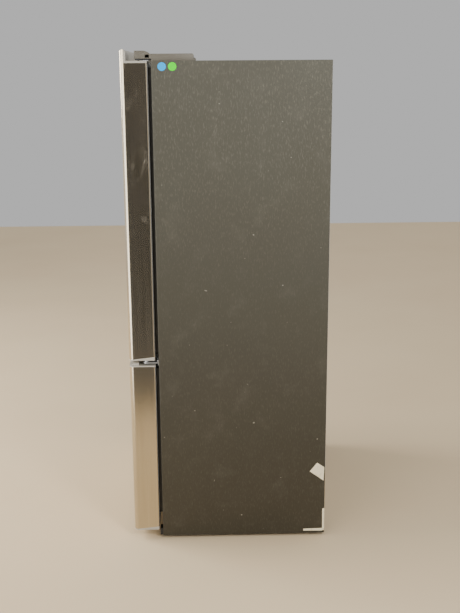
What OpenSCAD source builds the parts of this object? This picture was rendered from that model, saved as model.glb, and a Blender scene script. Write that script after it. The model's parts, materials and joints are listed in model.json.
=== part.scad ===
// French door refrigerator: two hinged upper doors over one freezer drawer.
// Millimetres. Origin on the floor, centred in width and depth.
// +Z up, doors face -Y, +X to the right of someone standing before the doors.

/* [Cabinet] */
// Overall width
body_w = 908; // [760:1:1000]
// Depth of the cabinet behind its front plane
case_d = 610; // [520:1:700]
// Height of the cabinet top above the floor
case_top = 1748; // [1500:1:1900]
// Height of the underside above the floor
case_base = 12; // [8:1:40]
// Insulated wall, outer face to liner face
wall = 46; // [35:1:70]
// Cabinet side set in from the door side
side_in = 0.8; // [0:0.1:3]
// Sheet metal thickness
sheet = 1; // [0.6:0.1:1.5]
// Plastic liner thickness
liner_t = 2; // [1.5:0.1:3]

/* [Doors] */
// Door thickness without its gasket
door_t = 93; // [60:1:110]
// Gap between door and cabinet, filled by the gasket
gasket_t = 13; // [9:0.5:18]
// Rounding of the vertical front edges
edge_r = 16; // [4:0.5:20]
// Rounding of the hem behind the door sides
hem_r = 5; // [2:0.5:8]
// Gap between the two upper doors
centre_gap = 6; // [4:0.5:10]
// Underside of the upper doors
door_low = 704; // [600:1:800]
// Top of the freezer drawer front
drawer_top = 684; // [580:1:780]
// Underside of the freezer drawer front
drawer_low = 37; // [20:1:80]
// Height of the raised lip on the upper doors
lip_h = 37; // [20:1:45]
// Thickness of the raised lip
lip_t = 21; // [14:1:26]

/* [Hinges] */
// Pin axis from the cabinet side
pin_in = 24; // [20:1:30]
// Pin axis behind the door front
pin_back = 62; // [50:1:70]
// Pin radius
pin_r = 5; // [3:0.5:7]
// Radial running clearance
run_c = 0.06; // [0.02:0.01:0.1]

/* [Compartments] */
// Fridge floor
fridge_z0 = 736; // [700:1:800]
// Freezer ceiling
freezer_z1 = 648; // [560:1:660]
// Freezer floor ahead of the machine space
freezer_z0 = 112; // [90:1:140]
// Freezer floor above the machine space
step_z = 290; // [240:1:320]
// Depth left for the machine space
machine_d = 248; // [200:1:280]
// Lower and upper glass shelf heights
shelf_z = [1180, 1440];
// Crisper cover height
cover_z = 925; // [860:1:980]

/* [Hidden] */
$fn = 48;
hw = body_w / 2;
cw = hw - side_in;
case_r = 4;
fy = -(door_t + gasket_t + case_d) / 2;
dr = fy + door_t;
cy = dr + gasket_t;
ry = cy + case_d;
px = hw - pin_in;
py = fy + pin_back;
cx = hw - wall - 2;
fridge_z1 = case_top - wall;
fridge_y1 = ry - 58;
freezer_y1 = ry - 68;
machine_y = ry - machine_d;
machine_z = step_z - 30;
freezer_y0 = machine_y - 20;
cap_z = case_top - 7;
ring_y = py + 85;
ring_lo = 50;
ring_hi = px - 50;
bin_lo = ring_lo + 26;
bin_hi = px - 85;
bin_y = py + 110;
shelf_y = cy + 76;
shelf_y1 = fridge_y1 - 16;
flap_x = -36;
flap_y = cy + 8.3;
crisper_x = hw - 80;
rail_z = step_z + 12;
axle_z = 20;
axle_y = ry - 58;
comp_x = 250;
comp_y = ry - 118;
fan_x = -10;
fan_y = ry - 128;
fan_z = 120;
slope = [3, 13];
door_a = centre_gap / 2;
pocket = [40, fy + 20, px - 40, fy + 58, 28];
bin_tops = [910, 1170, 1430];
bin_h = 120;
dairy_top = 1570;
tray_z = 448;
mid_z = (door_low + drawer_top) / 2;
flange = 24;
gland_x = 395;
gland_z = 120;
hinge_spots = [[px - 8, cy + 25], [px - 40, cy + 25], [px - 24, cy + 70]];
mid_screw_x = [px - 14, px + 9];

// ---- shared shapes ----

module box(x0, y0, z0, x1, y1, z1) {
    translate([x0, y0, z0])
        cube([x1 - x0, y1 - y0, z1 - z0]);
}

module both_sides() {
    children();
    mirror([1, 0, 0])
        children();
}

module along_x(x0, x1) {
    translate([x0, 0, 0])
        rotate([90, 0, 90])
            linear_extrude(x1 - x0)
                children();
}

module open_box(x0, y0, z0, x1, y1, z1, t) {
    difference() {
        box(x0, y0, z0, x1, y1, z1);
        box(x0 + t, y0 + t, z0 + t, x1 - t, y1 - t, z1 + 1);
    }
}

module frame_box(x0, z0, x1, z1, w, y0, y1) {
    difference() {
        box(x0, y0, z0, x1, y1, z1);
        box(x0 + w, y0 - 1, z0 + w, x1 - w, y1 + 1, z1 - w);
    }
}

// Plan of a door: broad rounding in front, a small hem behind, drawn in by i.
module door_plan(a, b, i) {
    translate([a + i, fy + edge_r])
        square([b - a - 2 * i, door_t - hem_r - edge_r]);
    translate([a + edge_r, fy + i])
        square([b - a - 2 * edge_r, edge_r]);
    translate([a + hem_r, dr - hem_r - 1])
        square([b - a - 2 * hem_r, hem_r + 1 - i]);
    for (x = [a + edge_r, b - edge_r])
        translate([x, fy + edge_r])
            circle(edge_r - i);
    for (x = [a + hem_r, b - hem_r])
        translate([x, dr - hem_r])
            circle(hem_r - i);
}

module door_block(a, b, i, z0, z1) {
    translate([0, 0, z0])
        linear_extrude(z1 - z0)
            door_plan(a, b, i);
}

// Bent sheet around a door, open behind between its hems.
module door_sheet(a, b, z0, z1) {
    difference() {
        door_block(a, b, 0, z0, z1);
        door_block(a, b, sheet, z0 - 1, z1 + 1);
        box(a + hem_r + 1, dr - 3, z0 - 1, b - hem_r - 1, dr + 1, z1 + 1);
    }
}

// What the sheet leaves inside, up to the liner.
module door_core(a, b, z0, z1) {
    difference() {
        door_block(a, b, sheet, z0, z1);
        box(a - 1, dr - liner_t, z0 - 1, b + 1, dr + 1, z1 + 1);
    }
}

// Everything under the sloping lower edge of a door's steel.
module under_slope(a, b, z) {
    along_x(a - 1, b + 1)
        polygon([
            [fy - 1, z - 1],
            [dr + 2, z - 1],
            [dr + 2, z + slope[1]],
            [fy - 1, z + slope[0]]
        ]);
}

module lip_profile(i) {
    r = lip_t / 2;
    translate([fy + i, cap_z])
        square([lip_t - 2 * i, case_top + lip_h - r - cap_z]);
    translate([fy + r, case_top + lip_h - r])
        circle(r - i);
}

module lip_body(a, b, i) {
    intersection() {
        along_x(a, b)
            lip_profile(i);
        door_block(a, b, i, cap_z, case_top + lip_h + 1);
    }
}

module lip_steel(a, b) {
    difference() {
        lip_body(a, b, 0);
        lip_body(a, b, sheet);
        box(a - 1, fy + 14, cap_z - 1, b + 1, dr, case_top + lip_h + 1);
    }
}

module lip_filler(a, b) {
    lip_body(a, b, sheet + 0.2);
    difference() {
        lip_body(a, b, 0);
        box(a - 1, fy - 1, cap_z - 1, b + 1, fy + 14.2, case_top + lip_h + 1);
    }
}

// ---- one upper door, drawn for the right-hand side ----

module upper_skin() {
    difference() {
        door_sheet(door_a, hw, door_low, cap_z);
        under_slope(door_a, hw, door_low);
    }
    lip_steel(door_a, hw);
}

module upper_top_cap() {
    difference() {
        union() {
            door_block(door_a, hw, sheet + 0.2, cap_z, case_top);
            difference() {
                door_block(door_a, hw, 0, cap_z, case_top);
                box(door_a - 1, fy - 1, cap_z - 1, hw + 1, fy + edge_r + 0.5, case_top + 1);
            }
            lip_filler(door_a, hw);
        }
        translate([px, py, cap_z - 1])
            cylinder(r = pin_r + run_c, h = 20);
    }
}

module pocket_outer() {
    box(pocket[0], pocket[1], door_low, pocket[2], pocket[3], door_low + pocket[4] + 2);
}

module upper_bottom_cap() {
    difference() {
        union() {
            intersection() {
                door_block(door_a, hw, 0, door_low, door_low + 20);
                under_slope(door_a, hw, door_low);
            }
            pocket_outer();
            translate([px, py, door_low])
                cylinder(r = 12, h = 20);
        }
        box(pocket[0] + 2, pocket[1] + 2, door_low - 1,
            pocket[2] - 2, pocket[3] - 2, door_low + pocket[4]);
        translate([px, py, door_low - 1])
            cylinder(r = pin_r + run_c, h = 17);
    }
}

module ring_block(i, y0) {
    difference() {
        box(ring_lo + i, y0, fridge_z0 + 12 + i, ring_hi - i, ring_y - i, fridge_z1 - 12 - i);
        box(bin_lo - i, y0 - 1, fridge_z0 + 38 - i, bin_hi + 1 + i, ring_y + 1, fridge_z1 - 38 + i);
    }
}

module bin_ledges(tops) {
    for (z = tops)
        for (x = [bin_lo, bin_hi - 3])
            box(x, dr + 4, z - 18, x + 4, ring_y - 12, z - 10.2);
}

module upper_liner(tops) {
    difference() {
        union() {
            box(door_a + hem_r + 1.2, dr - liner_t, door_low + 14, hw - hem_r - 1.2, dr, cap_z);
            ring_block(0, dr);
        }
        ring_block(liner_t, dr - liner_t - 1);
    }
    bin_ledges(tops);
}

module upper_foam() {
    difference() {
        union() {
            door_core(door_a, hw, door_low, cap_z);
            ring_block(liner_t, dr - liner_t);
        }
        under_slope(door_a, hw, door_low);
        pocket_outer();
        translate([px, py, door_low])
            cylinder(r = 12, h = 20);
        translate([px, py, cap_z - 20])
            cylinder(r = 8, h = 21);
    }
}

module upper_gasket() {
    difference() {
        frame_box(door_a + 5, door_low + 16, px - 1, cap_z - 13, 14, dr, cy - 0.3);
        frame_box(door_a + 10, door_low + 21, px - 6, cap_z - 18, 4, dr - 1, cy - 4);
    }
}

module door_bin(top) {
    z0 = top - bin_h;
    difference() {
        union() {
            box(bin_lo + 5, dr + 1, z0, bin_hi - 4, bin_y, top);
            box(bin_lo + 0.5, dr + 1, top - 10, bin_hi + 0.5, bin_y, top);
        }
        box(bin_lo + 7.5, dr + 3.5, z0 + 2.5, bin_hi - 6.5, bin_y - 2.5, top + 1);
    }
}

// ---- cabinet ----

module case_plan(i, back) {
    translate([-cw + i, cy + case_r])
        square([2 * (cw - i), back - cy - case_r]);
    translate([-cw + case_r, cy + i])
        square([2 * (cw - case_r), case_r]);
    for (x = [-cw + case_r, cw - case_r])
        translate([x, cy + case_r])
            circle(case_r - i);
}

module case_shell() {
    color([0.42, 0.39, 0.34])
    difference() {
        translate([0, 0, case_base])
            linear_extrude(case_top - case_base)
                case_plan(0, ry - sheet);
        translate([0, 0, case_base + 1])
            linear_extrude(case_top - sheet - case_base - 1)
                case_plan(sheet, ry);
        box(-hw + flange, cy - 1, case_base - 1, hw - flange, cy + 2, case_top - flange);
        box(-hw + 40, cy - 1, case_base - 1, hw - 40, ry + 1, case_base + 2);
        both_sides() {
            hinge_holes(2.7, case_top - 3, case_top + 1);
            box(px - 24, cy - 1, mid_z - 14, hw - case_r - 2, cy + 2, mid_z + 12);
            box(hw - 42, cy - 1, case_base - 1, hw - case_r - 1.5, cy + 2, 41);
        }
    }
}

module back_panel() {
    color([0.62, 0.62, 0.6])
    difference() {
        box(-cw + 0.5, ry - sheet, machine_z, cw - 0.5, ry, case_top - 0.5);
        for (x = [-300, 0, 300])
            translate([x, ry + 1, case_top - 60])
                rotate([90, 0, 0])
                    cylinder(r = 4, h = 4);
    }
}

module cabinet_foam() {
    color([0.86, 0.8, 0.6])
    difference() {
        box(-cw + sheet, cy + sheet, 66, cw - sheet, ry - sheet, case_top - sheet);
        box(-cx - liner_t, cy - 1, fridge_z0 - liner_t, cx + liner_t, fridge_y1 + liner_t, fridge_z1 + liner_t);
        box(-cx - liner_t, cy - 1, freezer_z0 - liner_t, cx + liner_t, freezer_y0 + liner_t, step_z);
        box(-cx - liner_t, cy - 1, step_z - liner_t, cx + liner_t, freezer_y1 + liner_t, freezer_z1 + liner_t);
        box(-hw, machine_y, 60, hw, ry + 1, machine_z);
        box(-hw, cy, 60, hw, cy + liner_t + 4, case_top);
    }
}

module wall_ledges() {
    for (z = [cover_z, shelf_z[0], shelf_z[1]])
        box(cx - 12, shelf_y + 10, z - 12, cx, shelf_y1 - 10, z);
    box(crisper_x + 2, shelf_y, fridge_z0, cx, shelf_y1 - 10, fridge_z0 + 28);
}

module fridge_liner() {
    color([0.93, 0.94, 0.94]) {
        difference() {
            box(-cx - liner_t, cy + sheet, fridge_z0 - liner_t,
                cx + liner_t, fridge_y1 + liner_t, fridge_z1 + liner_t);
            box(-cx, cy - 1, fridge_z0, cx, fridge_y1, fridge_z1);
        }
        difference() {
            box(-hw + flange + 0.2, cy, fridge_z0 - 6, hw - flange - 0.2, cy + 3, fridge_z1 + 20);
            box(-cx, cy - 1, fridge_z0, cx, cy + 5, fridge_z1);
        }
        both_sides()
            wall_ledges();
    }
}

module freezer_liner() {
    color([0.9, 0.91, 0.92])
    difference() {
        union() {
            box(-cx - liner_t, cy + sheet, freezer_z0 - liner_t, cx + liner_t, freezer_y0 + liner_t, step_z);
            box(-cx - liner_t, cy + sheet, step_z - liner_t, cx + liner_t, freezer_y1 + liner_t, freezer_z1 + liner_t);
            box(-hw + flange + 0.2, cy, 68, hw - flange - 0.2, cy + 3, freezer_z1);
        }
        box(-cx, cy - 1, freezer_z0, cx, freezer_y0, step_z + 1);
        box(-cx, cy - 1, step_z, cx, freezer_y1, freezer_z1);
    }
    color([0.9, 0.91, 0.92])
        both_sides()
            box(cx - 14, cy + 20, tray_z - 8, cx, freezer_y1 - 60, tray_z);
}

module centre_rail() {
    color([0.75, 0.76, 0.77])
    difference() {
        box(-hw + flange + 0.2, cy, freezer_z1 + liner_t + 0.2,
            hw - flange - 0.2, cy + 4, fridge_z0 - 6.2);
        both_sides()
            box(px - 24, cy - 1, mid_z - 14, hw, cy + 5, mid_z + 12);
    }
}

module base_frame() {
    color([0.2, 0.2, 0.21])
    difference() {
        union() {
            both_sides() {
                difference() {
                    box(hw - 40, cy + 6, case_base + 1.2, cw - 1.2, ry - 3, 60);
                    box(hw - 38, cy + 8, case_base, hw - 5, ry - 5, 58);
                }
                box(hw - 40, cy - 10, case_base + 1.2, hw - 6, cy + 7, 39);
                box(hw - 60, axle_y - 16, axle_z - 7, hw - 57, axle_y + 16, 60);
                box(hw - 60, axle_y - 16, 57, hw - 38, axle_y + 16, 60);
            }
            box(-hw + 39, cy + 6, 30, hw - 39, cy + 46, 32);
            box(-hw + 39, machine_y + 4, 30, hw - 39, ry - 6, 32);
            box(-hw + 39, machine_y + 2, 30, hw - 39, machine_y + 4, 60);
        }
        both_sides() {
            translate([hw - 60, cy + 26, 0])
                cylinder(r = 5.2, h = 70);
            box(hw - 56.5, axle_y - 22, 26, hw - 40.4, axle_y + 22, 44);
        }
    }
    color([0.2, 0.2, 0.21])
    both_sides()
        translate([hw - 60, axle_y, axle_z])
            rotate([0, 90, 0])
                cylinder(r = 4, h = 22);
}

module levelling_legs() {
    color([0.25, 0.25, 0.26])
    both_sides()
        translate([hw - 60, cy + 26, 0]) {
            cylinder(r = 17, h = 5);
            cylinder(r1 = 13, r2 = 8, h = 10);
            cylinder(r = 5, h = 52);
            translate([0, 0, 14])
                cylinder(r = 9, h = 8, $fn = 6);
        }
}

module toe_grille() {
    color([0.1, 0.1, 0.11])
    difference() {
        box(-hw + 42, cy + 1, 9, hw - 42, cy + 4, 62);
        for (i = [0:15])
            box(-375 + i * 47, cy, 18, -340 + i * 47, cy + 5, 22);
        for (i = [0:15])
            box(-375 + i * 47, cy, 27, -340 + i * 47, cy + 5, 29);
    }
}

module compressor() {
    color([0.06, 0.06, 0.07])
    translate([comp_x, comp_y, 0]) {
        rotate_extrude() {
            translate([0, 52])
                square([78, 88]);
            translate([0, 140])
                square([48, 30]);
            translate([48, 140])
                circle(30);
            translate([0, 46])
                square([66, 10]);
        }
        difference() {
            box(-100, -70, 42, 100, 70, 46);
            for (x = [-86, 86])
                for (y = [-56, 56])
                    translate([x, y, 40])
                        cylinder(r = 5.3, h = 8);
        }
        for (x = [-86, 86])
            for (y = [-56, 56])
                translate([x, y, 32])
                    cylinder(r = 9, h = 10.01);
        box(60, -24, 80, 96, 24, 130);
    }
}

// Tubes along X joined by return bends, stacked upwards.
module serpentine(x0, x1, z0, n, pitch, r) {
    for (i = [0:n - 1])
        translate([x0, 0, z0 + i * pitch])
            rotate([0, 90, 0])
                cylinder(r = r, h = x1 - x0);
    for (i = [0:n - 2])
        translate([i % 2 == 0 ? x1 : x0, 0, z0 + (i + 0.5) * pitch])
            rotate([90, i % 2 == 0 ? -90 : 90, 0])
                rotate_extrude(angle = 180)
                    translate([pitch / 2, 0])
                        circle(r);
}

module condenser_coil() {
    color([0.08, 0.08, 0.09])
    translate([0, ry - 75, 0]) {
        serpentine(-370, -120, 52, 7, 24, 3);
        for (x = [-350:20:-140])
            box(x, -12, 32.1, x + 0.8, 12, 204);
    }
}

module fan_bracket() {
    color([0.14, 0.14, 0.15])
    translate([fan_x, fan_y, fan_z]) {
        difference() {
            box(-75, 12, -87.9, 75, 15, 85);
            translate([0, 20, 0])
                rotate([90, 0, 0])
                    cylinder(r = 66, h = 12);
        }
        box(-75, 12, -4, 75, 15, 4);
        translate([0, 40, 0])
            rotate([90, 0, 0])
                cylinder(r = 20, h = 28);
        translate([0, 15, 0])
            rotate([90, 0, 0])
                cylinder(r = 3, h = 28);
    }
}

module fan_blades(r_hub, r_tip, n) {
    rotate([90, 0, 0])
    difference() {
        union() {
            translate([0, 0, -7])
                cylinder(r = r_hub, h = 14);
            for (i = [0:n - 1])
                rotate(i * 360 / n)
                    rotate([28, 0, 0])
                        box(r_hub - 4, -14, -0.8, r_tip, 14, 0.8);
        }
        translate([0, 0, -8])
            cylinder(r = 3 + run_c, h = 20);
    }
}

module condenser_fan() {
    color([0.16, 0.16, 0.17])
    translate([fan_x, fan_y, fan_z])
        fan_blades(16, 58, 5);
}

module drain_pan() {
    color([0.75, 0.75, 0.74])
        open_box(-390, machine_y + 10, 32.2, -92, ry - 100, 44, 2);
}

module machine_cover() {
    color([0.6, 0.6, 0.58])
    difference() {
        box(-hw + 42, ry - 9, 34, hw - 42, ry - 8, machine_z - 2);
        for (i = [0:11])
            for (j = [0:3])
                box(-370 + i * 22, ry - 12, 70 + j * 42, -360 + i * 22, ry - 5, 102 + j * 42);
        for (i = [0:5])
            box(150 + i * 40, ry - 12, 90, 176 + i * 40, ry - 5, 96);
        translate([gland_x, ry - 2, gland_z])
            rotate([90, 0, 0])
                cylinder(r = 8.2, h = 12);
    }
}

module cord_gland() {
    color([0.12, 0.12, 0.13])
    translate([gland_x, ry - 1, gland_z])
        rotate([90, 0, 0])
            difference() {
                union() {
                    cylinder(r = 12, h = 7);
                    cylinder(r = 8, h = 18);
                }
                translate([0, 0, -1])
                    cylinder(r = 4.5, h = 30);
            }
}

module hinge_holes(r, z0, z1) {
    for (p = hinge_spots)
        translate([p[0], p[1], z0])
            cylinder(r = r, h = z1 - z0);
}

module top_hinges() {
    color([0.72, 0.73, 0.75])
    both_sides() {
        difference() {
            union() {
                box(px - 52, cy + 8, case_top, px + 4, cy + 90, case_top + 7);
                box(px - 30, py, case_top + 3, px + 9, cy + 90, case_top + 7);
                translate([px, py, case_top + 3])
                    cylinder(r = 10, h = 4);
            }
            hinge_holes(2.7, case_top - 1, case_top + 8);
        }
        translate([px, py, cap_z - 12])
            cylinder(r = pin_r, h = 25);
    }
}

// Side profile of the cover's raised front, which curves down to the cabinet.
module cover_front(z, i) {
    r = 26 - i;
    intersection() {
        union() {
            translate([py - 12 + i, z])
                square([29 - i, r]);
            translate([py + 17, z])
                circle(r);
        }
        translate([py - 12 + i, z])
            square([60, r + 1]);
    }
}

module hinge_cover() {
    z = case_top + 7.1;
    difference() {
        union() {
            along_x(px - 62, px + 13)
                cover_front(z, 0);
            along_x(px - 62, px + 13)
                polygon([
                    [cy - 6, z],
                    [cy + 1, z],
                    [cy + 1, case_top + 0.1],
                    [cy + 143, case_top + 0.1],
                    [cy + 143, z + 12],
                    [cy + 139, z + 16],
                    [cy - 6, z + 16]
                ]);
        }
        along_x(px - 60, px + 11)
            cover_front(z - 0.5, 2);
        box(px - 60, cy - 14, case_top + 2.5, px + 11, cy + 4, z + 13.5);
        box(px - 60, cy + 3, case_top - 1, px + 11, cy + 137, z + 13.5);
        box(px + 8, cy - 20, z + 3, px + 14, cy - 6, z + 13);
        for (i = [0:5])
            box(px + 12.2, py - 8 + i * 6, z + 15, px + 14, py - 6 + i * 6, z + 23);
    }
}

module hinge_covers() {
    color([0.5, 0.47, 0.42])
        both_sides()
            hinge_cover();
}

module mid_hinges() {
    color([0.7, 0.71, 0.73])
    both_sides() {
        difference() {
            union() {
                box(px - 20, cy - 3, mid_z - 11, px + 16, cy, mid_z + 10);
                box(px - 14, py, mid_z - 4, px + 14, cy, mid_z);
                translate([px, py, mid_z - 4])
                    cylinder(r = 14, h = 4);
            }
            for (x = mid_screw_x)
                translate([x, cy + 1, mid_z + 5])
                    rotate([90, 0, 0])
                        cylinder(r = 2.7, h = 6);
        }
        translate([px, py, mid_z - 4])
            cylinder(r = pin_r, h = 28);
        translate([px, py, mid_z])
            cylinder(r = 9, h = 6);
    }
}

module hinge_screw() {
    cylinder(r = 2.5, h = 6.5);
    translate([0, 0, 6.5])
        difference() {
            cylinder(r = 4.6, h = 2.8);
            translate([0, 0, 1])
                cylinder(r = 2.2, h = 3, $fn = 6);
        }
}

module hinge_screws() {
    color([0.8, 0.8, 0.82])
    both_sides() {
        for (p = hinge_spots)
            translate([p[0], p[1], case_top + 0.6])
                hinge_screw();
        for (x = mid_screw_x)
            translate([x, cy + 3.4, mid_z + 5])
                rotate([90, 0, 0])
                    hinge_screw();
    }
}

// ---- inside the fridge ----

module shelf_glass() {
    color([0.75, 0.85, 0.85, 0.4])
    for (z = shelf_z)
        box(-cx + 10, shelf_y + 12, z + 4, cx - 10, shelf_y1 - 8, z + 8);
}

module shelf_trims() {
    color([0.88, 0.9, 0.9])
    for (z = shelf_z)
        difference() {
            box(-cx + 2, shelf_y, z + 0.2, cx - 2, shelf_y1, z + 14);
            box(-cx + 10, shelf_y + 12, z + 4, cx - 10, shelf_y1 - 8, z + 20);
            box(-cx + 20, shelf_y + 22, z - 1, cx - 20, shelf_y1 - 18, z + 20);
        }
}

module crisper_cover() {
    color([0.85, 0.88, 0.88])
    difference() {
        box(-cx + 2, shelf_y, cover_z + 0.2, cx - 2, shelf_y1, cover_z + 12);
        box(-cx + 14, shelf_y + 14, cover_z + 6, cx - 14, shelf_y1 - 12, cover_z + 20);
    }
}

module crisper() {
    color([0.85, 0.9, 0.92, 0.6])
    difference() {
        union() {
            box(6, py + 118, fridge_z0 + 1, crisper_x, py + 126, fridge_z0 + 175);
            box(8, py + 126, fridge_z0 + 1, crisper_x - 2, shelf_y1 - 40, fridge_z0 + 165);
        }
        box(11, py + 129, fridge_z0 + 4, crisper_x - 5, shelf_y1 - 43, fridge_z0 + 180);
        box(90, py + 117, fridge_z0 + 132, crisper_x - 84, py + 122, fridge_z0 + 158);
    }
}

module right_crisper() {
    crisper();
}

module left_crisper() {
    mirror([1, 0, 0])
        crisper();
}

module air_duct() {
    color([0.9, 0.91, 0.91])
    difference() {
        box(-150, fridge_y1 - 12, 960, 150, fridge_y1 - 0.2, fridge_z1 - 12);
        box(-146, fridge_y1 - 9, 964, 146, fridge_y1 + 1, fridge_z1 - 16);
        for (z = [1040:90:1660])
            for (x = [-110, 60])
                box(x, fridge_y1 - 14, z, x + 50, fridge_y1 - 8, z + 6);
    }
}

module ceiling_lamp() {
    color([0.98, 0.98, 0.95])
        box(-130, -60, fridge_z1 - 9, 130, 20, fridge_z1 - 0.2);
}

// ---- inside the freezer ----

module evaporator() {
    color([0.75, 0.76, 0.78])
    translate([0, freezer_y1 - 17, 0]) {
        serpentine(-300, 300, step_z + 24, 7, 30, 4);
        for (x = [-280:40:280])
            box(x, -14, step_z + 12, x + 1, 14, step_z + 218);
    }
}

module evaporator_cover() {
    color([0.88, 0.89, 0.9])
    difference() {
        union() {
            box(-cx + 4, freezer_y1 - 42, step_z + 4, cx - 4, freezer_y1 - 40, freezer_z1 - 2);
            translate([0, freezer_y1 - 32, step_z + 290])
                rotate([90, 0, 0])
                    cylinder(r = 16, h = 9);
        }
        for (i = [0:6])
            box(-56, freezer_y1 - 45, step_z + 254 + i * 11, 56, freezer_y1 - 39, step_z + 259 + i * 11);
        for (i = [0:13])
            box(-340 + i * 50, freezer_y1 - 45, step_z + 14, -310 + i * 50, freezer_y1 - 39, step_z + 22);
    }
    color([0.88, 0.89, 0.9])
    translate([0, freezer_y1 - 40, step_z + 290])
        rotate([-90, 0, 0]) {
            cylinder(r = 13, h = 8);
            cylinder(r = 3, h = 26);
        }
}

module evaporator_fan() {
    color([0.92, 0.92, 0.93])
    translate([0, freezer_y1 - 22, step_z + 290])
        fan_blades(12, 40, 5);
}

module drawer_rails_outer() {
    color([0.7, 0.71, 0.73])
    both_sides()
        difference() {
            box(cx - 16, cy + 8, rail_z, cx, freezer_y1 - 46, rail_z + 34);
            box(cx - 17, cy + 7, rail_z + 4, cx - 4, freezer_y1 - 50, rail_z + 30);
        }
}

module drawer_rails_inner() {
    color([0.62, 0.63, 0.65])
    both_sides() {
        box(cx - 20, dr + 0.5, rail_z + 5, cx - 6, freezer_y1 - 60, rail_z + 29);
        box(cx - 26, dr + 0.5, rail_z - 6, cx - 20, dr + 4, rail_z + 40);
        box(cx - 30, dr + 0.5, rail_z + 10, cx - 19, freezer_y0 - 10, rail_z + 14.8);
    }
}

module basket(x, y0, y1, z0, z1, t, n, lip) {
    difference() {
        union() {
            box(-x, y0, z0, x, y1, z1);
            box(-x - lip, y0, z1 - 5, x + lip, y1, z1);
        }
        box(-x + t, y0 + t, z0 + t, x - t, y1 - t, z1 + 1);
        for (i = [0:n - 1])
            for (j = [0:1]) {
                xi = -x + 30 + i * (2 * x - 60 + 12) / n;
                box(xi, y0 - 1, z0 + 16 + j * (z1 - z0 - 30) / 2,
                    xi + 16, y1 + 1, z0 + 2 + (j + 1) * (z1 - z0 - 30) / 2);
            }
    }
}

module lower_basket() {
    color([0.88, 0.89, 0.9])
        basket(cx - 32, cy + 14, freezer_y0 - 16, freezer_z0 + 10, rail_z + 20, 3, 16, 10);
}

module upper_tray() {
    color([0.88, 0.89, 0.9])
        basket(cx - 16, cy + 16, freezer_y1 - 62, tray_z - 58, tray_z + 5.2, 3, 16, 6);
}

// ---- doors ----

module right_door_skin() {
    color([0.5, 0.49, 0.47])
        upper_skin();
}

module left_door_skin() {
    color([0.5, 0.49, 0.47])
        mirror([1, 0, 0])
            upper_skin();
}

module right_door_top_cap() {
    color([0.5, 0.5, 0.48])
        upper_top_cap();
}

module left_door_top_cap() {
    color([0.5, 0.5, 0.48])
        mirror([1, 0, 0])
            upper_top_cap();
}

module right_door_bottom_cap() {
    color([0.6, 0.6, 0.58])
        upper_bottom_cap();
}

module left_door_bottom_cap() {
    color([0.6, 0.6, 0.58])
        mirror([1, 0, 0])
            upper_bottom_cap();
}

module right_door_foam() {
    color([0.86, 0.8, 0.6])
        upper_foam();
}

module left_door_foam() {
    color([0.86, 0.8, 0.6])
        mirror([1, 0, 0])
            upper_foam();
}

module right_door_liner() {
    color([0.93, 0.94, 0.94])
    difference() {
        upper_liner([bin_tops[0], bin_tops[1], dairy_top]);
        for (x = [bin_lo - 2, bin_hi])
            translate([x, dr + 10, dairy_top + 8])
                rotate([0, 90, 0])
                    cylinder(r = 3 + run_c, h = 3);
    }
}

module left_door_liner() {
    color([0.93, 0.94, 0.94])
        mirror([1, 0, 0])
            upper_liner(bin_tops);
}

// Lower and upper arm with the pins that the flap between the doors turns on.
module mullion_brackets() {
    color([0.82, 0.83, 0.83]) {
        for (z = [fridge_z0 + 26, fridge_z1 - 40]) {
            box(-ring_lo, flap_y - 6, z, flap_x, flap_y + 6, z + 14);
            translate([flap_x, flap_y, z])
                cylinder(r = 6, h = 14);
        }
        translate([flap_x, flap_y, fridge_z0 + 39])
            cylinder(r = 3, h = 12);
        translate([flap_x, flap_y, fridge_z1 - 51])
            cylinder(r = 3, h = 12);
    }
}

module right_door_gasket() {
    color([0.22, 0.22, 0.21])
        upper_gasket();
}

module left_door_gasket() {
    color([0.22, 0.22, 0.21])
        mirror([1, 0, 0])
            upper_gasket();
}

module right_door_bins() {
    color([0.86, 0.91, 0.93, 0.6])
    for (z = [bin_tops[0], bin_tops[1]])
        door_bin(z);
}

module left_door_bins() {
    color([0.86, 0.91, 0.93, 0.6])
    mirror([1, 0, 0])
        for (z = bin_tops)
            door_bin(z);
}

module dairy_box() {
    color([0.9, 0.92, 0.93])
        door_bin(dairy_top);
}

module dairy_lid() {
    color([0.86, 0.91, 0.93, 0.6]) {
        box(bin_lo + 1, dr + 6, dairy_top + 5, bin_hi, bin_y + 3.4, dairy_top + 8);
        box(bin_lo + 1, bin_y + 0.6, dairy_top - 50, bin_hi, bin_y + 3.4, dairy_top + 8);
        translate([bin_lo - 1.8, dr + 10, dairy_top + 8])
            rotate([0, 90, 0])
                cylinder(r = 3, h = bin_hi - bin_lo + 4.6);
    }
}

module mullion_flap() {
    color([0.82, 0.83, 0.83])
    difference() {
        union() {
            translate([flap_x, flap_y, fridge_z0 + 40.3])
                cylinder(r = 6, h = fridge_z1 - fridge_z0 - 80.6);
            box(flap_x - 8, flap_y + 5, fridge_z0 + 40.3, flap_x + 8, flap_y + 60, fridge_z1 - 40.3);
            box(flap_x - 5, flap_y, fridge_z0 + 40.3, flap_x + 5, flap_y + 6, fridge_z1 - 40.3);
        }
        for (z = [fridge_z0 + 39, fridge_z1 - 52])
            translate([flap_x, flap_y, z])
                cylinder(r = 3 + run_c, h = 13);
    }
}

// ---- freezer drawer front ----

module drawer_skin() {
    color([0.6, 0.58, 0.54])
    difference() {
        door_sheet(-hw, hw, drawer_low, drawer_top - 4);
        under_slope(-hw, hw, drawer_low);
    }
}

module drawer_bottom_cap() {
    color([0.6, 0.6, 0.58])
    intersection() {
        door_block(-hw, hw, 0, drawer_low, drawer_low + 20);
        under_slope(-hw, hw, drawer_low);
    }
}

module grip_trough() {
    box(-px + 30, fy + 36, drawer_top - 26, px - 30, fy + 74, drawer_top + 1);
}

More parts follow.
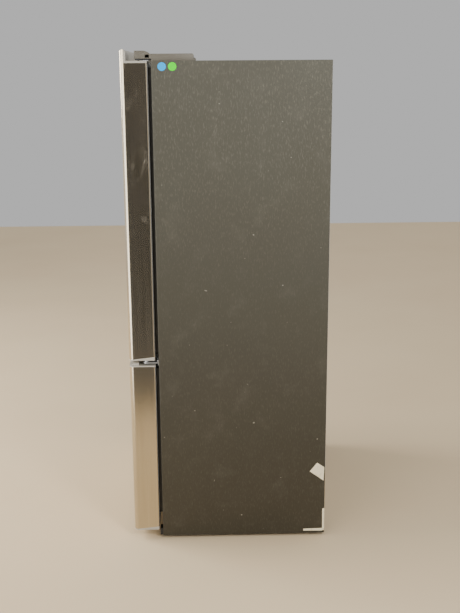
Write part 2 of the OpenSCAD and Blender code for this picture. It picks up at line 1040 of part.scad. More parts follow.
module drawer_top_cap() {
    color([0.36, 0.36, 0.35])
    difference() {
        union() {
            door_block(-hw, hw, 0, drawer_top - 4, drawer_top);
            box(-px + 28, fy + 34, drawer_top - 28, px - 28, fy + 76, drawer_top);
            box(-hw + 8, fy + 11, drawer_top - 1, hw - 8, fy + 34, drawer_top + 9);
        }
        grip_trough();
    }
}

module drawer_liner() {
    color([0.93, 0.94, 0.94])
    difference() {
        box(-hw + hem_r + 1.2, dr - liner_t, drawer_low + 13.5,
            hw - hem_r - 1.2, dr, drawer_top - 4);
        for (x = [-200, 200])
            box(x - 150, dr - 1, 200, x + 150, dr + 1, 560);
    }
}

module drawer_foam() {
    color([0.86, 0.8, 0.6])
    difference() {
        door_core(-hw, hw, drawer_low, drawer_top - 4);
        under_slope(-hw, hw, drawer_low);
        box(-px + 28, fy + 34, drawer_top - 28, px - 28, fy + 76, drawer_top);
    }
}

module drawer_gasket() {
    color([0.22, 0.22, 0.21])
    difference() {
        frame_box(-px + 1, freezer_z0 - 18, px - 1, freezer_z1 + 18, 14, dr, cy - 0.3);
        frame_box(-px + 6, freezer_z0 - 13, px - 6, freezer_z1 + 13, 4, dr - 1, cy - 4);
    }
}

// ---- rollers ----

module roller(x) {
    color([0.18, 0.18, 0.19])
    translate([x, axle_y, axle_z])
        rotate([0, 90, 0])
            difference() {
                cylinder(r = axle_z, h = 14);
                translate([0, 0, -1])
                    cylinder(r = 4 + run_c, h = 16);
            }
}

module roller_right() {
    roller(hw - 55);
}

module roller_left() {
    roller(-hw + 41);
}

// ---- selection ----

case_shell();
back_panel();
cabinet_foam();
fridge_liner();
freezer_liner();
centre_rail();
base_frame();
levelling_legs();
toe_grille();
compressor();
condenser_coil();
fan_bracket();
drain_pan();
machine_cover();
cord_gland();
top_hinges();
hinge_covers();
mid_hinges();
hinge_screws();
shelf_glass();
shelf_trims();
crisper_cover();
air_duct();
ceiling_lamp();
evaporator();
evaporator_cover();
drawer_rails_outer();
condenser_fan();
evaporator_fan();
roller_left();
roller_right();
left_door_skin();
left_door_foam();
left_door_liner();
left_door_top_cap();
left_door_bottom_cap();
left_door_gasket();
left_door_bins();
mullion_brackets();
mullion_flap();
right_door_skin();
right_door_foam();
right_door_liner();
right_door_top_cap();
right_door_bottom_cap();
right_door_gasket();
right_door_bins();
dairy_box();
dairy_lid();
left_crisper();
right_crisper();
drawer_skin();
drawer_foam();
drawer_liner();
drawer_top_cap();
drawer_bottom_cap();
drawer_gasket();
drawer_rails_inner();
lower_basket();
upper_tray();
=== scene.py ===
"""French door refrigerator: finishes, fitted detail pieces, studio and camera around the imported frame."""

import json
import math

import bmesh
import bpy
from mathutils import Matrix, Vector


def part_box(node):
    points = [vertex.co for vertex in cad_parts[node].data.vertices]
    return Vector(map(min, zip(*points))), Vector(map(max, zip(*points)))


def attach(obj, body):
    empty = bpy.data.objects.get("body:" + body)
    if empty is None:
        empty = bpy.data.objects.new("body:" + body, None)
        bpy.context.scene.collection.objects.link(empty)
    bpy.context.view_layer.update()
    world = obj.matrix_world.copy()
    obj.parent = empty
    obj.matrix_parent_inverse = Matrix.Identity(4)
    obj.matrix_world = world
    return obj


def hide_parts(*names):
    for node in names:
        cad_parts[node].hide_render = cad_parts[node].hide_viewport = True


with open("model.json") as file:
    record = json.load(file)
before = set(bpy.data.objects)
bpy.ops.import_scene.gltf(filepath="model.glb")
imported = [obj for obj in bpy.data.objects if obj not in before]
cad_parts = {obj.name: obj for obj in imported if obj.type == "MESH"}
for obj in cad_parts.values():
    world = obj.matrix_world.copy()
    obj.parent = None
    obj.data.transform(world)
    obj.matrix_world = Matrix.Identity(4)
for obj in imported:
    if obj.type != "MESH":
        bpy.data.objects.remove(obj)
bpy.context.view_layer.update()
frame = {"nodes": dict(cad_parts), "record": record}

MM = 0.001


# ---- shader arithmetic ----


class Wire:
    """One output socket of a finish, so that shader maths reads as arithmetic."""

    def __init__(self, tree, socket=None):
        self.tree = tree
        self.socket = socket

    def plug(self, socket, value):
        if isinstance(value, Wire):
            self.tree.links.new(value.socket, socket)
        else:
            socket.default_value = value

    def node(self, kind, settings=None, inputs=None, out=0):
        made = self.tree.nodes.new(kind)
        for name, value in (settings or {}).items():
            if name == "stops":
                ramp = made.color_ramp
                while len(ramp.elements) < len(value):
                    ramp.elements.new(0.5)
                for element, (place, colour) in zip(ramp.elements, value):
                    element.position = place
                    element.color = colour
            else:
                setattr(made, name, value)
        for name, value in (inputs or {}).items():
            self.plug(made.inputs[name], value)
        return Wire(self.tree, made.outputs[out])

    def maths(self, operation, first, second=0.0, clamp=False):
        return self.node(
            "ShaderNodeMath", {"operation": operation, "use_clamp": clamp}, {0: first, 1: second}
        )

    def __add__(self, other):
        return self.maths("ADD", self, other)

    __radd__ = __add__

    def __sub__(self, other):
        return self.maths("SUBTRACT", self, other)

    def __rsub__(self, other):
        return self.maths("SUBTRACT", other, self)

    def __mul__(self, other):
        return self.maths("MULTIPLY", self, other)

    __rmul__ = __mul__

    def clamped(self):
        return self.maths("ADD", self, 0.0, clamp=True)

    def part(self, axis):
        return self.node("ShaderNodeSeparateXYZ", {}, {0: self}, out=axis)

    def stretched(self, scale):
        return self.node("ShaderNodeMapping", {}, {"Vector": self, "Scale": scale})

    def noise(self, scale, detail=2.0, roughness=0.5, distortion=0.0):
        return self.node(
            "ShaderNodeTexNoise",
            {},
            {
                "Vector": self,
                "Scale": scale,
                "Detail": detail,
                "Roughness": roughness,
                "Distortion": distortion,
            },
        )

    def cells(self, scale, feature="F1"):
        return self.node("ShaderNodeTexVoronoi", {"feature": feature}, {"Vector": self, "Scale": scale})

    def between(self, low, high):
        """0 below low, 1 above high, smooth in between."""
        return self.node(
            "ShaderNodeMapRange",
            {"interpolation_type": "SMOOTHSTEP"},
            {"Value": self, "From Min": low, "From Max": high},
        )

    def mixed(self, first, second):
        """first where this wire is 0, second where it is 1."""
        return self.node(
            "ShaderNodeMix", {"data_type": "RGBA"}, {0: self, 6: first, 7: second}, out=2
        )

    def bump(self, depth, under=None):
        """A normal from this wire as a height, depth metres from 0 to 1."""
        inputs = {"Height": self, "Distance": depth, "Strength": 1.0}
        if under is not None:
            inputs["Normal"] = under
        return self.node("ShaderNodeBump", {}, inputs)


def srgb(red, green, blue):
    """A colour given in 0 to 255, as the linear value that shaders take."""
    channels = []
    for value in (red, green, blue):
        value = value / 255
        channels.append(value / 12.92 if value <= 0.04045 else ((value + 0.055) / 1.055) ** 2.4)
    return (*channels, 1.0)


class Finish:
    """A material with its shader, and the object-space place that its patterns read."""

    def __init__(self, name, **constants):
        self.material = bpy.data.materials.new(name)
        self.material.use_nodes = True
        tree = self.material.node_tree
        self.shader = tree.nodes["Principled BSDF"]
        self.wire = Wire(tree)
        self.place = self.wire.node("ShaderNodeTexCoord", out="Object")
        self.set(**constants)

    def set(self, **values):
        for name, value in values.items():
            self.wire.plug(self.shader.inputs[name.replace("_", " ").title().replace("Ior", "IOR")], value)


# ---- finishes ----


def cabinet_paint():
    """Taupe enamel rolled with a fine leather grain, rubbed a little by handling; painted shade towards the
    floor and a painted sheen towards the top.
    """
    paint = Finish("cabinet_paint", specular_ior_level=0.3)
    place = paint.place
    grain = place.stretched((1.0, 1.0, 0.55)).cells(300.0, "SMOOTH_F1")
    wrinkle = place.stretched((1.0, 1.0, 0.4)).noise(260.0, 3.0, 0.6, 0.8)
    fleck = place.stretched((1.0, 1.0, 0.35)).noise(210.0, 3.0, 0.55).between(0.5, 0.74)
    cloud = place.noise(2.2, 3.0, 0.55)
    dusty = place.noise(13.0, 5.0, 0.65).between(0.5, 0.8)
    drag = place.stretched((1.0, 22.0, 2.5)).noise(3.0, 4.0, 0.6).between(0.66, 0.76)
    rubbed = drag * place.noise(1.7, 2.0).between(0.5, 0.66)
    chip = place.noise(60.0, 1.0).between(0.79, 0.82)
    # The pale flecks show more strongly towards the top: a painted sheen on the grain.
    upper_sheen = place.part("Z").between(0.9, 1.7)
    # Painted shade and sheen: darker towards the floor and paler towards the top, as the light falls on the
    # side.
    body = place.part("Z").between(-0.3, 2.0).mixed(srgb(50, 45, 34), srgb(80, 79, 70))
    body = (cloud.between(0.3, 0.7) * 0.25).mixed(body, srgb(70, 66, 55))
    body = (fleck * (0.07 + upper_sheen * 0.16)).mixed(body, srgb(140, 135, 122))
    body = (dusty * 0.05).mixed(body, srgb(160, 154, 140))
    body = (rubbed * 0.08).mixed(body, srgb(180, 174, 160))
    body = (chip * 0.3).mixed(body, srgb(200, 195, 182))
    relief = (grain * 0.5 + wrinkle * 0.5).bump(0.0004)
    paint.set(
        base_color=body,
        roughness=0.42 + wrinkle * 0.12 + dusty * 0.08,
        normal=relief,
    )
    return paint


def brushed_steel():
    """Stainless sheet brushed up and down, with handling marks and wisps of film glue."""
    steel = Finish("brushed_steel")
    place = steel.place
    brush = place.stretched((420.0, 420.0, 3.0)).noise(1.0, 4.0, 0.7)
    coarse = place.stretched((60.0, 60.0, 1.0)).noise(1.0, 3.0, 0.6)
    cloud = place.noise(3.1, 3.0, 0.6)
    wisp = place.stretched((1.0, 1.7, 1.0)).noise(11.0, 5.0, 0.62, 0.9).between(0.54, 0.86)
    glue = wisp * place.part("Z").between(0.95, 1.3)
    tone = (brush * 0.75 + coarse * 0.25).between(0.2, 0.8)
    # The warm bronze tone is partly the steel's own tint and partly a painted reflection of the warm floor.
    body = tone.mixed(srgb(176, 165, 144), srgb(206, 195, 174))
    body = (cloud.between(0.35, 0.7) * 0.3).mixed(body, srgb(182, 166, 138))
    body = (glue * 0.3).mixed(body, srgb(216, 213, 204))
    relief = brush.bump(0.00002, coarse.bump(0.00004))
    steel.set(
        base_color=body,
        metallic=0.96 - glue * 0.12,
        roughness=0.15 + brush * 0.09 + glue * 0.16,
        normal=relief,
    )
    return steel


def moulded_plastic(name, colour, worn, gloss, grain):
    """Injection-moulded plastic: spark-eroded grain, faint flow clouds, dust."""
    plastic = Finish(name)
    place = plastic.place
    texture = place.noise(900.0, 3.0, 0.6)
    cloud = place.noise(6.0, 3.0, 0.5)
    dust = place.noise(38.0, 5.0, 0.7).between(0.56, 0.8)
    body = (cloud.between(0.3, 0.7) * 0.5).mixed(colour, worn)
    body = (dust * 0.14).mixed(body, srgb(206, 202, 192))
    plastic.set(
        base_color=body,
        roughness=gloss + texture * 0.1 + dust * 0.12,
        normal=texture.bump(grain),
    )
    return plastic


def glossy_liner(name, colour, shade):
    """Vacuum-formed liner: white gloss with the soft orange peel of the mould."""
    liner = Finish(name)
    place = liner.place
    peel = place.noise(160.0, 2.0, 0.45)
    cloud = place.noise(2.4, 2.0, 0.5)
    liner.set(
        base_color=(cloud.between(0.25, 0.75)).mixed(colour, shade),
        roughness=0.2 + peel * 0.1,
        normal=peel.bump(0.00008),
    )
    return liner


def clear_plastic():
    """Clear bins: a faint blue cast, mould haze and fine scratches."""
    clear = Finish("clear_plastic", transmission_weight=0.82, ior=1.49)
    place = clear.place
    haze = place.noise(14.0, 4.0, 0.6)
    scratch = place.stretched((30.0, 30.0, 420.0)).noise(1.0, 2.0, 0.5).between(0.6, 0.75)
    clear.set(
        base_color=haze.mixed(srgb(226, 238, 243), srgb(240, 246, 248)),
        roughness=0.08 + haze * 0.08 + scratch * 0.1,
        normal=haze.bump(0.0002),
    )
    return clear


def tempered_glass():
    glass = Finish("tempered_glass", transmission_weight=0.92, ior=1.52)
    wipe = glass.place.noise(7.0, 3.0, 0.6)
    glass.set(
        base_color=wipe.mixed(srgb(219, 236, 230), srgb(236, 246, 242)),
        roughness=0.03 + wipe * 0.05,
        normal=wipe.bump(0.0001),
    )
    return glass


def seal_rubber():
    rubber = Finish("seal_rubber")
    place = rubber.place
    skin = place.noise(320.0, 3.0, 0.6)
    dust = place.noise(30.0, 5.0, 0.7).between(0.5, 0.8)
    rubber.set(
        base_color=(dust * 0.3).mixed(srgb(54, 52, 48), srgb(112, 107, 98)),
        roughness=0.55 + skin * 0.2,
        normal=skin.bump(0.00008),
    )
    return rubber


def zinc_plate():
    """Zinc-plated steel with the faint spangle of the bath."""
    zinc = Finish("zinc_plate")
    place = zinc.place
    spangle = place.cells(130.0)
    haze = place.noise(24.0, 4.0, 0.6)
    zinc.set(
        base_color=(spangle * 0.8).mixed(srgb(196, 197, 198), srgb(166, 168, 172)),
        metallic=0.95 - haze * 0.2,
        roughness=0.28 + haze * 0.2,
        normal=spangle.bump(0.00004),
    )
    return zinc


def sheet_paint(name, colour, shade, gloss):
    """Thin paint on plain steel: a fine skin, soft clouds of tone and scattered dust."""
    coat = Finish(name)
    place = coat.place
    skin = place.noise(110.0, 3.0, 0.55)
    cloud = place.noise(4.0, 4.0, 0.6)
    dust = place.noise(22.0, 5.0, 0.7).between(0.5, 0.8)
    body = cloud.between(0.3, 0.7).mixed(colour, shade)
    coat.set(
        base_color=(dust * 0.16).mixed(body, srgb(150, 144, 132)),
        roughness=gloss + skin * 0.12 + dust * 0.1,
        normal=skin.bump(0.00012),
    )
    return coat


def rigid_foam():
    foam = Finish("rigid_foam")
    pores = foam.place.cells(520.0)
    swirl = foam.place.noise(30.0, 4.0, 0.6)
    foam.set(
        base_color=swirl.mixed(srgb(229, 212, 160), srgb(205, 184, 128)),
        roughness=0.75 + pores * 0.2,
        normal=(pores * 0.7 + swirl * 0.3).bump(0.0006),
    )
    return foam


def lamp_lens():
    lens = Finish("lamp_lens", emission_strength=0.6)
    ribs = lens.place.part("X") * 900.0
    wave = ribs.maths("SINE", ribs)
    lens.set(
        base_color=(wave * 0.5 + 0.5).mixed(srgb(250, 250, 244), srgb(235, 236, 232)),
        emission_color=(wave * 0.5 + 0.5).mixed(srgb(255, 250, 238), srgb(246, 240, 226)),
        roughness=0.3 + wave * 0.05,
        normal=wave.bump(0.0004),
    )
    return lens


FINISHES = {
    "case_paint": cabinet_paint(),
    "back_steel": sheet_paint("back_sheet", srgb(164, 164, 160), srgb(156, 156, 152), 0.4),
    "insulation": rigid_foam(),
    "liner_plastic": glossy_liner("liner_plastic", srgb(240, 242, 243), srgb(228, 232, 234)),
    "trim_metal": sheet_paint("rail_paint", srgb(205, 206, 207), srgb(190, 190, 190), 0.34),
    "black_steel": sheet_paint("black_enamel", srgb(30, 30, 32), srgb(22, 22, 24), 0.36),
    "zinc_steel": zinc_plate(),
    "black_plastic": moulded_plastic("black_plastic", srgb(36, 36, 38), srgb(46, 45, 44), 0.5, 0.00005),
    "cover_plastic": moulded_plastic("cover_plastic", srgb(104, 99, 88), srgb(92, 87, 77), 0.45, 0.00005),
    "shelf_glass": tempered_glass(),
    "white_plastic": moulded_plastic(
        "white_plastic", srgb(238, 239, 238), srgb(226, 227, 225), 0.34, 0.00003
    ),
    "clear_plastic": clear_plastic(),
    "lamp_lens": lamp_lens(),
    "roller_nylon": moulded_plastic("roller_nylon", srgb(52, 52, 54), srgb(66, 64, 62), 0.5, 0.00006),
    "door_steel": brushed_steel(),
    "cap_plastic": moulded_plastic("cap_plastic", srgb(176, 172, 162), srgb(158, 154, 144), 0.28, 0.00004),
    "seal_rubber": seal_rubber(),
}

slot_of = {part["node"]: part["material_slot"] for part in frame["record"]["subparts"]}
for node, solid in frame["nodes"].items():
    for index in range(len(solid.material_slots)):
        solid.material_slots[index].material = FINISHES[slot_of[node]].material


# ---- what is stuck on the cabinet side ----

case_low, case_high = (Vector(corner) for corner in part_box("case_shell"))
side_x = case_high.x
front_y = case_low.y
PAPER = 0.25 * MM
TAPE_THICKNESS = 0.16 * MM
CREASE = 0.25 * MM
TAPE_CUTS = 12
LIFT = 0.04 * MM
DOT_RADIUS = 14 * MM


def on_side(behind, height):
    """A place on the right-hand cabinet side, from its front edge and the floor."""
    return Vector((side_x + LIFT, front_y + behind * MM, height * MM))


def sheet_outline(name, corners, cuts):
    """A thin sheet on the cabinet side through the given corners, finely divided."""
    bpy.ops.object.select_all(action="DESELECT")
    bpy.ops.mesh.primitive_plane_add(size=1.0, location=(0, 0, 0))
    patch = bpy.context.object
    patch.name = name
    bpy.ops.object.mode_set(mode="EDIT")
    bpy.ops.mesh.subdivide(number_cuts=cuts)
    bpy.ops.object.mode_set(mode="OBJECT")
    low_front, low_rear, high_rear, high_front = (on_side(*corner) for corner in corners)
    for vertex in patch.data.vertices:
        along, up = vertex.co.x + 0.5, vertex.co.y + 0.5
        low = low_front.lerp(low_rear, along)
        high = high_front.lerp(high_rear, along)
        vertex.co = low.lerp(high, up)
    return patch


def wrinkled(patch, reach, seed):
    """Lifts the sheet off the side in soft creases, never past the door's own side."""
    for vertex in patch.data.vertices:
        place = vertex.co
        crease = math.sin(place.y * 310 + seed) * math.sin(place.z * 190 - seed * 2 + place.y * 140)
        ripple = math.sin(place.z * 520 + place.y * 260 + seed * 3)
        vertex.co.x += reach * (0.35 + 0.4 * crease * crease + 0.25 * ripple * ripple)


def thickened(patch, thickness):
    """Gives the sheet its thickness outwards and shades it smooth."""
    body = patch.modifiers.new("thickness", "SOLIDIFY")
    body.thickness = thickness
    body.offset = 1.0
    body.use_even_offset = True
    bpy.context.view_layer.objects.active = patch
    bpy.ops.object.modifier_apply(modifier="thickness")
    bpy.ops.object.select_all(action="DESELECT")
    patch.select_set(True)
    bpy.ops.object.mode_set(mode="EDIT")
    bpy.ops.mesh.select_all(action="SELECT")
    bpy.ops.mesh.normals_make_consistent(inside=False)
    bpy.ops.object.mode_set(mode="OBJECT")
    bpy.ops.object.shade_smooth_by_angle(angle=math.radians(35))
    return patch


def finished(piece, finish, body):
    piece.data.materials.clear()
    piece.data.materials.append(finish.material)
    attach(piece, body)


def sticker_paper(name, colour, faded):
    # The paper glows with a little emission of its own, without any lamp: painted light for the brightness of
    # the fluorescent dye.
    paper = Finish(name, emission_strength=0.2, specular_ior_level=0.1)
    place = paper.place
    fibre = place.noise(700.0, 3.0, 0.6)
    scuff = place.noise(120.0, 3.0, 0.6).between(0.6, 0.75)
    paper.set(
        base_color=(fibre * 0.4 + scuff * 0.4).clamped().mixed(colour, faded),
        emission_color=scuff.mixed(colour, faded),
        roughness=0.4 + fibre * 0.15,
        normal=fibre.bump(0.00003),
    )
    return paper


def masking_tape():
    """Cream crepe tape, torn, with patches of dirt."""
    tape = Finish("masking_tape")
    place = tape.place
    crepe = place.stretched((1.0, 1.0, 5.0)).noise(240.0, 3.0, 0.6, 0.5)
    stain = place.noise(60.0, 4.0, 0.6).between(0.5, 0.75)
    clean = crepe.mixed(srgb(224, 213, 178), srgb(238, 230, 203))
    tape.set(
        base_color=(stain * 0.6).mixed(clean, srgb(188, 172, 136)),
        roughness=0.6 + crepe * 0.2,
        normal=crepe.bump(0.0003),
    )
    return tape


def colour_dot(name, behind, height, paper):
    """Round fluorescent label with a slightly raised rim, as it lies over the grain."""
    bpy.ops.object.select_all(action="DESELECT")
    bpy.ops.mesh.primitive_circle_add(
        vertices=48,
        radius=DOT_RADIUS,
        fill_type="NGON",
        location=on_side(behind, height),
        rotation=(0, math.radians(90), 0),
    )
    dot = bpy.context.object
    dot.name = name
    bpy.ops.object.transform_apply(location=True, rotation=True, scale=True)
    bpy.ops.object.mode_set(mode="EDIT")
    bpy.ops.mesh.select_all(action="SELECT")
    bpy.ops.mesh.inset(thickness=1.2 * MM, depth=0.06 * MM)
    bpy.ops.mesh.inset(thickness=2.5 * MM, depth=-0.02 * MM)
    bpy.ops.object.mode_set(mode="OBJECT")
    thickened(dot, PAPER)
    finished(dot, paper, "cabinet")


colour_dot("cyan_dot", 36, 1729, sticker_paper("cyan_paper", srgb(0, 160, 230), srgb(0, 170, 236)))
colour_dot("green_dot", 71, 1729, sticker_paper("green_paper", srgb(50, 222, 0), srgb(70, 228, 0)))

TAPE = masking_tape()
TAPES = {
    "tape_scrap": ([(552, 263), (604, 225), (606, 279), (579, 297)], 1.0),
    "tape_upright": ([(602, 22), (609, 22), (609, 113), (601, 110)], 2.4),
    "tape_along_foot": ([(530, 21), (603, 20), (603, 31), (531, 29)], 4.1),
}
for name, (corners, seed) in TAPES.items():
    scrap = sheet_outline(name, corners, TAPE_CUTS)
    wrinkled(scrap, CREASE, seed)
    finished(thickened(scrap, TAPE_THICKNESS), TAPE, "cabinet")


# ---- moulded bins, drawers and door seals ----

body_of = {node: body for body, nodes in frame["record"]["behaviour"]["bodies"].items() for node in nodes}


def block(name, low, high):
    """A block between two corners, alone in selection and in edit mode."""
    bpy.ops.object.select_all(action="DESELECT")
    low, high = Vector(low), Vector(high)
    bpy.ops.mesh.primitive_cube_add(size=1.0, location=(low + high) / 2, scale=high - low)
    piece = bpy.context.object
    piece.name = name
    bpy.ops.object.transform_apply(location=True, rotation=True, scale=True)
    bpy.ops.object.mode_set(mode="EDIT")
    return piece


def pick_faces(piece, wanted):
    """Selects the faces for which wanted(centre, normal) holds."""
    bpy.ops.mesh.select_mode(type="FACE")
    bpy.ops.mesh.select_all(action="DESELECT")
    mesh = bmesh.from_edit_mesh(piece.data)
    for face in mesh.faces:
        if wanted(face.calc_center_median(), face.normal):
            face.select_set(True)
    bmesh.update_edit_mesh(piece.data)


def pick_edges(piece, wanted):
    """Selects the edges for which wanted(one end, other end) holds."""
    bpy.ops.mesh.select_mode(type="EDGE")
    bpy.ops.mesh.select_all(action="DESELECT")
    mesh = bmesh.from_edit_mesh(piece.data)
    for edge in mesh.edges:
        if wanted(edge.verts[0].co, edge.verts[1].co):
            edge.select_set(True)
    bmesh.update_edit_mesh(piece.data)


def raised(rise):
    bpy.ops.mesh.extrude_region_move(TRANSFORM_OT_translate={"value": (0, 0, rise)})


def eased(piece, width, segments=2):
    """Leaves edit mode, rounds every sharp edge a little and shades smooth between them."""
    if piece.mode == "EDIT":
        bpy.ops.object.mode_set(mode="OBJECT")
    bpy.ops.object.select_all(action="DESELECT")
    piece.select_set(True)
    bpy.context.view_layer.objects.active = piece
    edge = piece.modifiers.new("eased_edges", "BEVEL")
    edge.width = width
    edge.segments = segments
    edge.limit_method = "ANGLE"
    edge.angle_limit = math.radians(35)
    bpy.ops.object.modifier_apply(modifier="eased_edges")
    bpy.ops.object.shade_smooth_by_angle(angle=math.radians(40))
    return piece


def moulded_bin(name, low, high, wall, corner, ledge=0.0, rim=0.0):
    """A box open at the top with rounded corners, drawn in towards its floor; a ledge may carry a rim."""
    low, high = Vector(low), Vector(high)
    middle = (low + high) / 2
    step = 2 * MM if ledge else 0.0
    piece = block(name, low + Vector((ledge, 0, 0)), high - Vector((ledge, 0, rim)))
    pick_faces(piece, lambda centre, normal: normal.z > 0.9)
    inner = high.x - low.x - 2 * ledge
    if ledge:
        raised(step)
        bpy.ops.transform.resize(value=((inner + 2 * ledge) / inner, 1, 1), center_override=middle)
        raised(rim - step)
    bpy.ops.mesh.inset(thickness=wall)
    across = inner + 2 * ledge - 2 * wall
    bpy.ops.transform.resize(value=((inner - 2 * wall) / across, 1, 1), center_override=middle)
    raised(low.z + wall - high.z)
    bpy.ops.transform.resize(value=(0.985, 0.96, 1), center_override=middle)
    pick_edges(
        piece,
        lambda one, other: (one.x - middle.x) * (other.x - middle.x) > 0
        and (one.y - middle.y) * (other.y - middle.y) > 0,
    )
    bpy.ops.mesh.bevel(offset=corner, segments=5, affect="EDGES", clamp_overlap=False)
    return eased(piece, 0.7 * MM)


SEAL_BAND = 14 * MM
SEAL_CORNER = 5 * MM
FOLD_LIP = 3.2 * MM
FOLD_DEPTH = 2.4 * MM


def bellows_seal(node):
    """A soft magnetic door seal: a frame with rounded corners and a fold around its inside and outside."""
    low, high = (Vector(corner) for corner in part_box(node))
    piece = block(node + "_bellows", low, high)
    pick_faces(piece, lambda centre, normal: abs(normal.y) > 0.9)
    bpy.ops.mesh.inset(thickness=SEAL_BAND)
    bpy.ops.mesh.bridge_edge_loops()
    pick_edges(piece, lambda one, other: abs(one.y - other.y) > 5 * MM)
    bpy.ops.mesh.bevel(offset=SEAL_CORNER, segments=4, affect="EDGES", clamp_overlap=False)
    pick_faces(piece, lambda centre, normal: abs(normal.y) < 0.1)
    bpy.ops.mesh.inset(thickness=FOLD_LIP, use_boundary=True)
    bpy.ops.transform.shrink_fatten(value=-FOLD_DEPTH)
    eased(piece, 0.9 * MM)
    bpy.ops.object.mode_set(mode="EDIT")
    bpy.ops.mesh.select_all(action="SELECT")
    bpy.ops.mesh.normals_make_consistent(inside=False)
    bpy.ops.object.mode_set(mode="OBJECT")
    finished(piece, FINISHES["seal_rubber"], body_of[node])
    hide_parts(node)


for node in ("left_door_gasket", "right_door_gasket", "drawer_gasket"):
    bellows_seal(node)

BIN_WALL = 2.5 * MM
BIN_DEPTH = 120 * MM
BIN_FLOOR = 8 * MM
BIN_LEDGE = 4.5 * MM
BIN_RIM = 10 * MM
BIN_CORNER = 12 * MM

for opening in frame["record"]["physics"]["openings"]:
    if "_door_bin_" in opening["name"]:
        side, number = opening["name"].split("_door_bin_")
        node = side + "_door_bins"
        low, high = (Vector(corner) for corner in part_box(node))
        low.z = opening["box_m"][0][2] - BIN_FLOOR
        high.z = low.z + BIN_DEPTH
        name = f"{side}_door_bin_{number}"
        piece = moulded_bin(name, low, high, BIN_WALL, BIN_CORNER, BIN_LEDGE, BIN_RIM)
        finished(piece, FINISHES["clear_plastic"], body_of[node])
        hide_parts(node)

piece = moulded_bin("dairy_bin", *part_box("dairy_box"), BIN_WALL, BIN_CORNER, BIN_LEDGE, BIN_RIM)
finished(piece, FINISHES["clear_plastic"], body_of["dairy_box"])
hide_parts("dairy_box")


FRONT_PLATE = 8 * MM
FRONT_CORNER = 18 * MM
FRONT_BORDER = 11 * MM
TUB_WALL = 3 * MM
TUB_CORNER = 16 * MM
TUB_SIDE = 2 * MM
TUB_DROP = 10 * MM


def crisper_drawer(node):
    """A clear drawer: a rounded tub behind a front plate with a raised border."""
    low, high = (Vector(corner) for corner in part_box(node))
    tub_low = low + Vector((TUB_SIDE, FRONT_PLATE, 0))
    tub_high = high - Vector((TUB_SIDE, 0, TUB_DROP))
    tub = moulded_bin(node + "_tub", tub_low, tub_high, TUB_WALL, TUB_CORNER)
    front = block(node + "_front", low, Vector((high.x, low.y + FRONT_PLATE, high.z)))
    pick_edges(front, lambda one, other: abs(one.y - other.y) > 5 * MM)
    bpy.ops.mesh.bevel(offset=FRONT_CORNER, segments=6, affect="EDGES", clamp_overlap=False)
    pick_faces(front, lambda centre, normal: normal.y < -0.9)
    bpy.ops.mesh.inset(thickness=FRONT_BORDER)
    bpy.ops.mesh.inset(thickness=2 * MM, depth=-2.5 * MM)
    eased(front, 0.8 * MM)
    for piece in (tub, front):
        finished(piece, FINISHES["clear_plastic"], body_of[node])
        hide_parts(node)


for node in ("left_crisper", "right_crisper"):
    crisper_drawer(node)


def rounded_part(node, width):
    """A frame part with its edges rounded as they come from the mould, the press or the vacuum former."""
    mesh = frame["nodes"][node].data.copy()
    piece = bpy.data.objects.new(node + "_rounded", mesh)
    bpy.context.scene.collection.objects.link(piece)
    bpy.ops.object.select_all(action="DESELECT")
    piece.select_set(True)
    bpy.context.view_layer.objects.active = piece
    bpy.ops.object.mode_set(mode="EDIT")
    bpy.ops.mesh.select_all(action="SELECT")
    bpy.ops.mesh.remove_doubles(threshold=0.00002)
    bpy.ops.mesh.dissolve_limited(angle_limit=math.radians(1.0))
    eased(piece, width)
    slot = slot_of[node]
    finished(piece, FINISHES[slot], body_of[node])
    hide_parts(node)


ROUNDED_PARTS = {
    "fridge_liner": 2.0 * MM,
    "freezer_liner": 2.0 * MM,
    "left_door_liner": 2.0 * MM,
    "right_door_liner": 2.0 * MM,
    "drawer_liner": 2.0 * MM,
    "hinge_covers": 0.9 * MM,
    "shelf_trims": 1.2 * MM,
    "crisper_cover": 1.5 * MM,
    "air_duct": 1.2 * MM,
    "ceiling_lamp": 3.0 * MM,
    "evaporator_cover": 0.6 * MM,
    "lower_basket": 0.8 * MM,
    "upper_tray": 0.8 * MM,
    "mullion_flap": 0.8 * MM,
    "dairy_lid": 0.8 * MM,
    "centre_rail": 0.6 * MM,
    "drain_pan": 0.6 * MM,
}
for node, width in ROUNDED_PARTS.items():
    rounded_part(node, width)


# ---- studio ----


FLOOR_SIZE = 9.0
FLOOR_RIGHT = 1.9  # the steel sides mirror dim air past this edge and warm floor before it


def studio():
    bpy.ops.mesh.primitive_plane_add(size=FLOOR_SIZE, location=(FLOOR_RIGHT - FLOOR_SIZE / 2, 0, 0))
    floor = bpy.context.object
    floor.name = "studio_floor"
    ground = Finish("studio_ground")
    mottle = ground.place.noise(1.5, 2.0, 0.5)
    ground.set(
        base_color=mottle.mixed(srgb(228, 207, 172), srgb(220, 197, 162)),
        roughness=0.6 + mottle * 0.1,
    )
    floor.data.materials.append(ground.material)


def softbox(name, place, target, size, power, colour):
    light = bpy.data.lights.new(name, "AREA")
    light.shape = "RECTANGLE"
    light.size, light.size_y = size
    light.energy = power
    light.color = colour
    lamp = bpy.data.objects.new(name, light)
    bpy.context.scene.collection.objects.link(lamp)
    lamp.location = place
    lamp.visible_camera = False
    lamp.rotation_euler = (Vector(target) - Vector(place)).to_track_quat("-Z", "Y").to_euler()


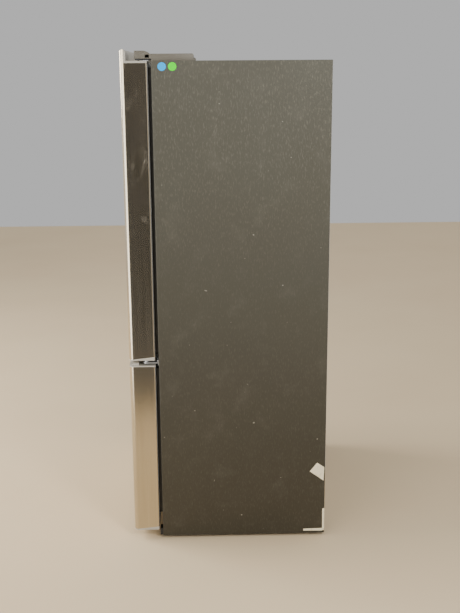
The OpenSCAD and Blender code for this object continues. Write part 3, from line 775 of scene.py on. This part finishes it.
def sky():
    """Pale backdrop; the steel mirrors air that is bright ahead and behind and dim at the right-hand side."""
    world = bpy.data.worlds.new("studio_air")
    world.use_nodes = True
    air = Wire(world.node_tree)
    background = world.node_tree.nodes["Background"]
    way = air.node("ShaderNodeTexCoord", out="Generated")
    side = way.part("X").between(0.86, 0.97)
    ahead = (way.part("Y") * -1.0).between(0.15, 0.8)
    behind = way.part("Y").between(0.2, 0.8)
    beam = ((way.part("X") - way.part("Y")) * 0.707).between(0.86, 0.96)
    seen = air.node("ShaderNodeLightPath", out="Is Camera Ray")
    air.plug(background.inputs["Color"], seen.mixed(srgb(240, 238, 234), srgb(214, 214, 214)))
    glow = (0.5 + ahead * 0.7 + behind * 0.5 + beam * 5.0) * (1.0 - side * 0.96)
    air.plug(background.inputs["Strength"], seen * 0.8 + (1.0 - seen) * glow)
    bpy.context.scene.world = world


def eye(place, yaw, pitch, roll, lens):
    """A camera that looks along -X, turned by yaw to +Y, down by pitch and rolled, in degrees."""
    yaw, pitch, roll = (math.radians(angle) for angle in (yaw, pitch, roll))
    ahead = Vector(
        (-math.cos(pitch) * math.cos(yaw), math.cos(pitch) * math.sin(yaw), -math.sin(pitch))
    )
    right = ahead.cross(Vector((0, 0, 1))).normalized()
    up = right.cross(ahead)
    right, up = (
        math.cos(roll) * right + math.sin(roll) * up,
        math.cos(roll) * up - math.sin(roll) * right,
    )
    camera = bpy.data.cameras.new("viewer")
    camera.sensor_fit = "VERTICAL"
    camera.sensor_height = 36.0
    camera.lens = lens
    viewer = bpy.data.objects.new("viewer", camera)
    bpy.context.scene.collection.objects.link(viewer)
    turn = Matrix((right, up, -ahead)).transposed().to_4x4()
    viewer.matrix_world = Matrix.Translation(place) @ turn
    bpy.context.scene.camera = viewer


right_door_side = Vector(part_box("right_door_skin")[1]).x
studio()
sky()
softbox("front_softbox", (-0.6, -3.6, 2.6), (0.2, -0.3, 0.9), (2.6, 2.4), 190.0, (1.0, 0.97, 0.92))
softbox("rear_softbox", (3.1, 1.5, 2.5), (0.45, 0.33, 1.75), (0.8, 0.8), 68.0, (1.0, 0.98, 0.94))
softbox("side_softbox", (3.4, -1.2, 3.7), (0.45, 0.0, 1.7), (1.2, 1.2), 14.0, (1.0, 0.98, 0.95))

VIEW_DISTANCE = 3.207
VIEW_BEHIND = 0.179
VIEW_HEIGHT = 1.704
viewpoint = (right_door_side + VIEW_DISTANCE, front_y + VIEW_BEHIND, VIEW_HEIGHT)
eye(viewpoint, yaw=1.42, pitch=14.05, roll=-0.40, lens=54.6)
